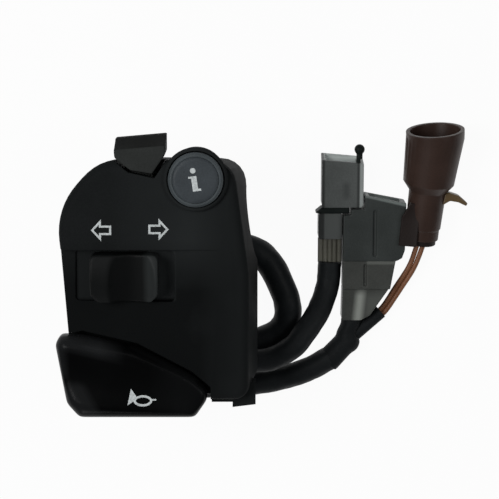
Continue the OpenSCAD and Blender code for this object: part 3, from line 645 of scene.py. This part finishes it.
shellSet = {  # where the outline is drawn over: middle, reach, shift, spread
    "arch": ((-13.0, 17.4), 3.0, (-0.3, 0.6), 9),
    "leftSide": ((-23.6, -28.0), 2.5, (-0.5, 0), 16),
    "paddleCorner": ((-24.36, -26.42), 0.6, (-0.1, -1.2), 0.8),
    "lowerEdge": ((17.3, -46.6), 3.2, (0, -0.8), 1),
    "topRight": ((22.6, 19.4), 1.6, (-0.5, -0.5), 3),
}
shell = softened("front_shell", "frontShell", "shell_black", "shellBlack")
for place in shellSet.values():
    nudge(shell, *place)
paddle = softened("horn_paddle", "hornPaddle", "paddle_gloss", "paddleGloss",
                  voxel=0.00030, relax=80)
softened("thumb_cap", "thumbSlider", "thumb_black", "thumbBlack",
         voxel=0.00024, relax=16, above=0.0262)
softened("beam_lever", "fingerTab", "lever_black", "leverBlack", voxel=0.00022, relax=12)
button = softened("info_button", "infoButton", "button_grey", "buttonGrey",
                  voxel=0.00022, relax=4)
softened("info_ring", "infoRing", "ring_grey", "ringGrey")
print("controls softened")

springSet = {  # the body at the coil's free end, and the way the coil runs to it
    "info_spring": ("infoSpring", "info", (0, 0, 1)),
    "turn_spring_left": ("turnSpringLeft", "carriage", (1, 0, 0)),
    "turn_spring_right": ("turnSpringRight", "carriage", (-1, 0, 0)),
    "horn_spring": ("hornSpring", "paddle", (0, 0, 1)),
}


def returnSpring(node, name):  # squeezed between the housing and what it pushes back
    spring = joinedCopy(node, name)
    shadeSmooth(spring, "coilAngle")
    dress(spring, "steel")
    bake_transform(spring)
    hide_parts(node)


for node, (name, body, way) in springSet.items():
    returnSpring(node, name)
print("springs set")

# connectors

slimPlug = [
    softened("slim_body", "slimBody", "plug_milky", "capMilky", voxel=0.00018, relax=4),
    softened("slim_flange", "slimFlange", "plug_dark", "plugDark", voxel=0.00016, relax=3),
    softened("slim_cap", "slimCap", "plug_milky", "capMilky", voxel=0.00018, relax=4),
    softened("slim_latch", "slimLatch", "plug_dark", "plugDark", voxel=0.00014, relax=4),
]
widePlug = [
    softened("wide_shell", "wideShell", "plug_grey", "plugGrey", voxel=0.00022, relax=4),
    softened("wide_cover", "wideCover", "plug_milky", "plugMilky", voxel=0.00020, relax=4),
    softened("wide_boot", "wideBoot", "plug_milky", "plugMilky", voxel=0.00022, relax=6),
]

cupSet = {
    "rear": (75.2, -7, -11.255), "turn": 5, "rise": 8.696,
    "mouthFrom": 29, "mouthMiddle": (78.0, 25.1, -6.3), "mouthTurn": 9,
}
cupTurn, cupRise = math.radians(cupSet["turn"]), math.radians(cupSet["rise"])
cupAxis = Vector((math.sin(cupTurn) * math.cos(cupRise), math.cos(cupTurn) * math.cos(cupRise),
                  math.sin(cupRise)))


def slantedCup():
    cup = softened("brown_cup", "brownCup", "plug_brown", "plugBrown")
    rear = Vector(cupSet["rear"])
    pickPoints(cup, lambda spot: (spot - rear).dot(cupAxis) > cupSet["mouthFrom"])
    bpy.ops.transform.rotate(value=math.radians(-cupSet["mouthTurn"]), orient_axis="Z",
                             center_override=Vector(cupSet["mouthMiddle"]) * mm)
    endEdit()
    return cup


brownCup = slantedCup()
brownLatch = softened("brown_latch", "brownLatch", "latch_amber", "latchAmber",
                      voxel=0.00016, relax=14)
brownSeal = softened("brown_seal", "brownSeal", "plug_brown", "sealBrown")

wingSet = {
    "middle": (71.0, -4.6, -6.25), "size": (5.2, 8.4, 1.2), "turn": -5, "tip": 4.2, "taper": 2.5,
    "edge": 0.3, "edgeSteps": 2, "border": 0.8, "sunk": 0.25,
}


def brownWing():  # thin tongue beside the cup's rear, over the wide connector
    middle, size = Vector(wingSet["middle"]), Vector(wingSet["size"])
    tipFrom = middle.y + size.y / 2 + 1
    topFrom = middle.z + size.z / 2 - 0.01
    bpy.ops.mesh.primitive_cube_add(size=1, location=middle * mm)
    wing = bpy.context.object
    wing.name = "brownWing"
    wing.scale = size * mm
    wing.rotation_euler = (0, 0, math.radians(wingSet["turn"]))
    bpy.ops.object.transform_apply(location=True, rotation=True, scale=True)
    pickPoints(wing, lambda spot: spot.y > middle.y)
    bpy.ops.mesh.extrude_region_move(TRANSFORM_OT_translate={"value": (0, wingSet["tip"] * mm, 0)})
    endEdit()
    movePoints(wing, lambda spot: spot.y > tipFrom and spot.x < middle.x, (wingSet["taper"], 0))
    editAll(wing)
    bpy.ops.mesh.bevel(offset=wingSet["edge"] * mm, segments=wingSet["edgeSteps"], affect="EDGES")
    endEdit()
    pickPoints(wing, lambda spot: spot.z > topFrom)
    bpy.ops.mesh.inset(thickness=wingSet["border"] * mm)
    bpy.ops.transform.translate(value=(0, 0, -wingSet["sunk"] * mm))
    endEdit()
    shadeSmooth(wing, "mouldedAngle")
    return settle(wing, "housing", "plug_brown", "sealBrown")


wing = brownWing()
print("connectors softened")

# rubber pieces

forkSet = {  # as shellSet
    "slimSide": ((50.8, -31.6), 1.2, (1.3, 0.3), 3.5),
    "sleeveSide": ((49.9, -44.4), 1.4, (-0.7, -1.2), 4),
    "tailSide": ((56.4, -31.8), 1.2, (0.9, 0.2), 2.5),
}
softened("loom_gland", "loomGland", "gland_rubber", "glandRubber", voxel=0.00030, relax=10)
splice = softened("loom_splice", "loomSplice", "sleeve_black", "glandRubber",
                  voxel=0.00040, relax=14)
forkBoot = softened("junction_boot", "forkBoot", "sleeve_black", "glandRubber",
                    voxel=0.00024, relax=30)
for place in forkSet.values():
    nudge(forkBoot, *place)
print("rubber pieces softened")


# cords

def inMetres(points):
    return [Vector(point) * mm for point in points]


def routeThrough(points, steps):  # a smooth way through all the points
    ends = [2 * points[0] - points[1]] + points + [2 * points[-1] - points[-2]]
    route = []
    for k in range(len(points) - 1):
        a, b, c, d = ends[k:k + 4]
        for step in range(steps):
            t = step / steps
            route.append(0.5 * (2 * b + (c - a) * t + (2 * a - 5 * b + 4 * c - d) * t * t
                                + (3 * b - a - 3 * c + d) * t ** 3))
    return route + [points[-1]]


def lengthOf(route):
    return sum((b - a).length for a, b in zip(route, route[1:]))


dentSet = {"around": 2, "bias": 0.25}


def tubeRings(route, look):  # points, and their places on the tube's own map
    across = (route[1] - route[0]).normalized().orthogonal().normalized()
    points, places, reach = [], [], 0.0
    for k, centre in enumerate(route):
        ahead = (route[min(k + 1, len(route) - 1)] - route[max(k - 1, 0)]).normalized()
        across = (across - across.dot(ahead) * ahead).normalized()
        up = ahead.cross(across)
        reach += (centre - route[k - 1]).length if k else 0.0
        drift = Vector((1, 0, 1)) * reach * look["rate"]
        for side in range(look["sides"]):
            turn = 2 * math.pi * side / look["sides"]
            out = across * math.cos(turn) + up * math.sin(turn)
            bulge = noise.noise(out * dentSet["around"] + drift) + dentSet["bias"]
            points.append(centre + out * (look["radius"] - look["dent"] * max(0.0, bulge)))
            places.append((side / look["sides"], reach))
    return points, places


def tubeFaces(rings, sides):
    faces = []
    for k in range(rings - 1):
        near, far = k * sides, (k + 1) * sides
        for side in range(sides):
            beside = (side + 1) % sides
            faces.append((near + side, near + beside, far + beside, far + side))
    last = (rings - 1) * sides
    return faces + [tuple(reversed(range(sides))), tuple(range(last, last + sides))]


def tubeAlong(name, route, look):
    sides = look["sides"]
    points, places = tubeRings(route, look)
    mesh = bpy.data.meshes.new(name)
    mesh.from_pydata(points, [], tubeFaces(len(route), sides))
    piece = bpy.data.objects.new(name, mesh)
    scene.collection.objects.link(piece)
    layer = mesh.uv_layers.new(name="along")
    for face in mesh.polygons:
        corners = [mesh.loops[i].vertex_index for i in face.loop_indices]
        wraps = len(corners) == 4 and any(corner % sides == sides - 1 for corner in corners)
        for i, corner in zip(face.loop_indices, corners):
            u, v = places[corner]
            layer.data[i].uv = (u + 1.0 if wraps and corner % sides == 0 else u, v)
    editAll(piece)
    bpy.ops.mesh.normals_make_consistent(inside=False)
    endEdit()
    shadeSmooth(piece, "cordAngle")
    return piece


def layCord(name, node, points, look):
    route = routeThrough(inMetres(points), look["steps"])
    piece = tubeAlong(name, route, look)
    settle(piece, "housing", look["slot"], look["finish"], node)
    lengthOf(route)


loomSet = {
    "slot": "sleeve_black", "finish": "sleeveBlack", "farEnd": "fitting", "stiffness": "medium",
    "radius": 0.0041, "sides": 24, "dent": 0.00024, "rate": 260, "steps": 8,
    "points": [
        (3.7, -25.3, -11.35), (5.6, -16.6, -11.85), (9.6, -12.6, -11.85), (15.4, -10.3, -11.85),
        (21.8, -9.9, -11.85), (27.4, -11.7, -11.85), (31.2, -15.8, -11.85), (33.9, -21.2, -11.85),
        (35.8, -26.6, -11.85), (35.9, -31.6, -11.85), (33.4, -35.6, -11.85), (29, -37.9, -11.85),
        (23.4, -39.4, -11.85), (15, -42.2, -11.85), (6, -44.2, -11.85),
    ],
}
layCord("mainLoom", "main_loom", loomSet["points"], loomSet)

slimSet = {
    "slot": "sleeve_black", "finish": "sleeveBlack", "farEnd": "connector", "stiffness": "medium",
    "radius": 0.0035, "sides": 24, "dent": 0.00020, "rate": 280, "steps": 10,
    "points": [
        (6, -41.1, -4.1), (19, -41.9, -4.1), (29.6, -42.3, -4.1), (37, -38.6, -4.2),
        (40.6, -34.6, -5.3), (44.1, -30.1, -7.8), (46.4, -25.6, -10.4), (47.9, -20.8, -12.15),
        (48.4, -14.5, -12.45),
    ],
}
layCord("slimBranch", "slim_branch", slimSet["points"], slimSet)

wideSet = {
    "slot": "sleeve_black", "finish": "sleeveBlack", "farEnd": "connector", "stiffness": "medium",
    "radius": 0.0036, "sides": 24, "dent": 0.00020, "rate": 280, "steps": 10,
    "points": [
        (6, -52.5, -12.35), (16, -52.1, -12.35), (25.5, -51.5, -12.35), (34.6, -49.8, -12.35),
        (42.2, -47.2, -12.35), (48.6, -43.7, -12.35),
    ],
}
layCord("wideBranch", "wide_branch", wideSet["points"], wideSet)

brownSet = {
    "slot": "wire_brown", "finish": "wireBrown", "farEnd": "connector", "stiffness": "limp",
    "radius": 0.00077, "sides": 12, "dent": 0.00003, "rate": 300, "steps": 8,
    "fork": (53.7, -38.4, -12.2), "tailEnd": (63.7, -29.8, -13.4), "inTail": 7.2,
    "straight": 1.5, "apart": 0.75,  # at the tail's end
    "bow": [(68.7, -22.6, -13.1), (72.6, -15.8, -12.1)],
    "bowApart": [(0.64, -0.4, 0), (0.68, -0.32, 0)],
    "cupGap": 1.6, "cupApart": 0.9,
}


def brownRoute(side):
    fork, tailEnd = Vector(brownSet["fork"]), Vector(brownSet["tailEnd"])
    lead = (tailEnd - fork).normalized()
    leave = tailEnd + lead.cross(Vector((0, 0, 1))).normalized() * brownSet["apart"] * side
    bow = [Vector(middle) + side * Vector(apart)
           for middle, apart in zip(brownSet["bow"], brownSet["bowApart"])]
    across = Vector((math.cos(cupTurn), -math.sin(cupTurn), 0)) * brownSet["cupApart"]
    into = Vector(cupSet["rear"]) - brownSet["cupGap"] * cupAxis + side * across
    straight = brownSet["straight"] * lead
    return [leave - brownSet["inTail"] * lead, leave - straight, leave + straight, *bow, into]


layCord("brownWireLeft", "brown_wire_left", brownRoute(-1), brownSet)
layCord("brownWireRight", "brown_wire_right", brownRoute(1), brownSet)
print("cords laid")

wireRowSet = {
    "radius": 0.00076, "sides": 16, "dent": 0.00002, "rate": 300, "pitch": 1.4,
    "rows": [(5, 45.54, -12.5), (4, 46.24, -13.7)],  # count, first x, level
    "from": -14.5, "step": 0.9, "rings": 9,
}


def wireRows():  # bare wires at the rear of the slim connector, two rows deep
    wires = []
    heights = [wireRowSet["from"] + k * wireRowSet["step"] for k in range(wireRowSet["rings"])]
    for count, first, level in wireRowSet["rows"]:
        for k in range(count):
            x = first + k * wireRowSet["pitch"]
            route = inMetres([(x, y, level) for y in heights])
            wires.append(tubeAlong("slimWire", route, wireRowSet))
    settle(joinParts(wires), "housing", "wire_pale", "wirePale", "slim_wires")


wireRows()
print("wires laid")

# printed signs

signSet = {"lift": 0.04, "cuts": 3, "offset": 0.00004}  # drawn above the face, then laid on it


def flatPart(middle, size, sides=4):  # a plane or a disc, in millimetres
    bpy.ops.object.select_all(action="DESELECT")
    if sides == 4:
        bpy.ops.mesh.primitive_plane_add(size=1)
    else:
        bpy.ops.mesh.primitive_circle_add(vertices=sides, radius=0.5, fill_type="NGON")
    part = bpy.context.object
    part.scale = (size[0] * mm, size[1] * mm, 1)
    part.location = (middle[0] * mm, middle[1] * mm, signSet["lift"])
    bpy.ops.object.transform_apply(location=True, rotation=True, scale=True)
    return part


def keepStroke(part, width):  # a filled sign becomes its outline
    editAll(part)
    bpy.ops.mesh.inset(thickness=width * mm, use_even_offset=True)
    bpy.ops.mesh.delete(type="FACE")
    endEdit()


def stretchPoints(middle, gain):  # the picked points, up and down from a place
    centre = (middle[0] * mm, middle[1] * mm, signSet["lift"])
    bpy.ops.transform.resize(value=(1, gain, 1), center_override=centre)


def printOn(name, parts, target, body, turn=0):
    piece = joinParts(parts)
    piece.name = name
    editAll(piece)
    bpy.ops.mesh.normals_make_consistent(inside=False)
    bpy.ops.mesh.subdivide(number_cuts=signSet["cuts"])
    if turn:
        corners = [Vector(corner) for corner in piece.bound_box]
        bpy.ops.transform.rotate(value=math.radians(-turn), orient_axis="Z",
                                 center_override=sum(corners, Vector()) / len(corners))
    endEdit()
    applyModifier(piece, "SHRINKWRAP", {
        "target": target, "wrap_method": "PROJECT", "use_project_z": True,
        "use_negative_direction": True, "use_positive_direction": False,
        "offset": signSet["offset"],
    })
    settle(piece, body, "ring_grey", "printWhite")


arrowSet = {
    "stroke": 0.56, "shaft": (2.75, 2.6), "head": (2.75, 6.0),
    "left": (-18.05, 1.85), "right": (2.95, 2.1),  # tips
}


def turnArrow(name, tip, way):
    shaft, head = arrowSet["shaft"], arrowSet["head"]
    neck = tip[0] - way * head[0]
    sign = flatPart((neck - way * shaft[0] / 2, tip[1]), shaft)
    pickPoints(sign, lambda spot: abs(spot.x - neck) < 0.01)
    bpy.ops.mesh.extrude_region_move()
    stretchPoints((neck, tip[1]), head[1] / shaft[1])
    bpy.ops.mesh.extrude_region_move(
        TRANSFORM_OT_translate={"value": (way * head[0] * mm, 0, 0)}
    )
    bpy.ops.mesh.merge(type="CENTER")
    bpy.ops.mesh.select_all(action="SELECT")
    bpy.ops.mesh.dissolve_faces()
    endEdit()
    keepStroke(sign, arrowSet["stroke"])
    printOn(name, [sign], shell, "housing")


turnArrow("arrowLeft", arrowSet["left"], -1)
turnArrow("arrowRight", arrowSet["right"], 1)

hornSet = {
    "stroke": 0.6, "loop": (-4.4, -44.9), "loopSize": (5.1, 3.0), "loopSides": 28,
    "bell": (-7.2, -43.9), "bellSize": (1.9, 4.4), "throat": 0.24, "throatDrop": 0.25,
    "bellLow": (-0.45, 0), "bellHigh": (0.5, 0.1),  # shifts of the bell's corners
    "pipe": (-1.35, -44.65), "pipeSize": (1.2, 0.42),
}


def hornSign():
    loop = flatPart(hornSet["loop"], hornSet["loopSize"], hornSet["loopSides"])
    keepStroke(loop, hornSet["stroke"])
    x, y = hornSet["bell"]
    bell = flatPart((x, y), hornSet["bellSize"])
    pickPoints(bell, lambda spot: spot.x > x)
    stretchPoints((x + hornSet["bellSize"][0] / 2, y - hornSet["throatDrop"]), hornSet["throat"])
    endEdit()
    movePoints(bell, lambda spot: spot.x < x and spot.y < y, hornSet["bellLow"])
    movePoints(bell, lambda spot: spot.x < x and spot.y > y, hornSet["bellHigh"])
    pipe = flatPart(hornSet["pipe"], hornSet["pipeSize"])
    printOn("hornSign", [loop, bell, pipe], paddle, "paddle")


hornSign()

infoSet = {
    "dot": (9.95, 18.5), "dotSize": (1.5, 1.5), "dotSides": 20, "turn": 8,
    "stem": (9.95, 14.95), "stemSize": (1.45, 4.1), "serif": (8.85, 16.75),
    "serifSize": (0.75, 0.5), "foot": (11.05, 13.2), "footSize": (0.75, 0.6),
}


def infoSign():
    dot = flatPart(infoSet["dot"], infoSet["dotSize"], infoSet["dotSides"])
    bars = [flatPart(infoSet[bar], infoSet[bar + "Size"]) for bar in ("stem", "serif", "foot")]
    printOn("infoSign", [dot, *bars], button, "info", infoSet["turn"])


infoSign()
print("signs printed")

# CAD nodes whose own form shows

plainFinishes = {
    "backBlack": ["base_plate", "rear_clamp"],
    "steel": ["clamp_screws", "shell_screws", "beam_spring", "beam_pin", "horn_pin"],
    "boardGreen": ["circuit_board"],
    "switchDark": ["info_switch", "beam_switch", "horn_switch"],
    "contactBrass": ["turn_contacts", "slim_terminals", "wide_terminals", "brown_terminals"],
    "sliderGrey": ["turn_carriage"],
    "glandRubber": ["tail_sleeve"],
}
for finishName, members in plainFinishes.items():
    for node in members:
        dress(frame["nodes"][node], finishName)

bpy.context.view_layer.update()
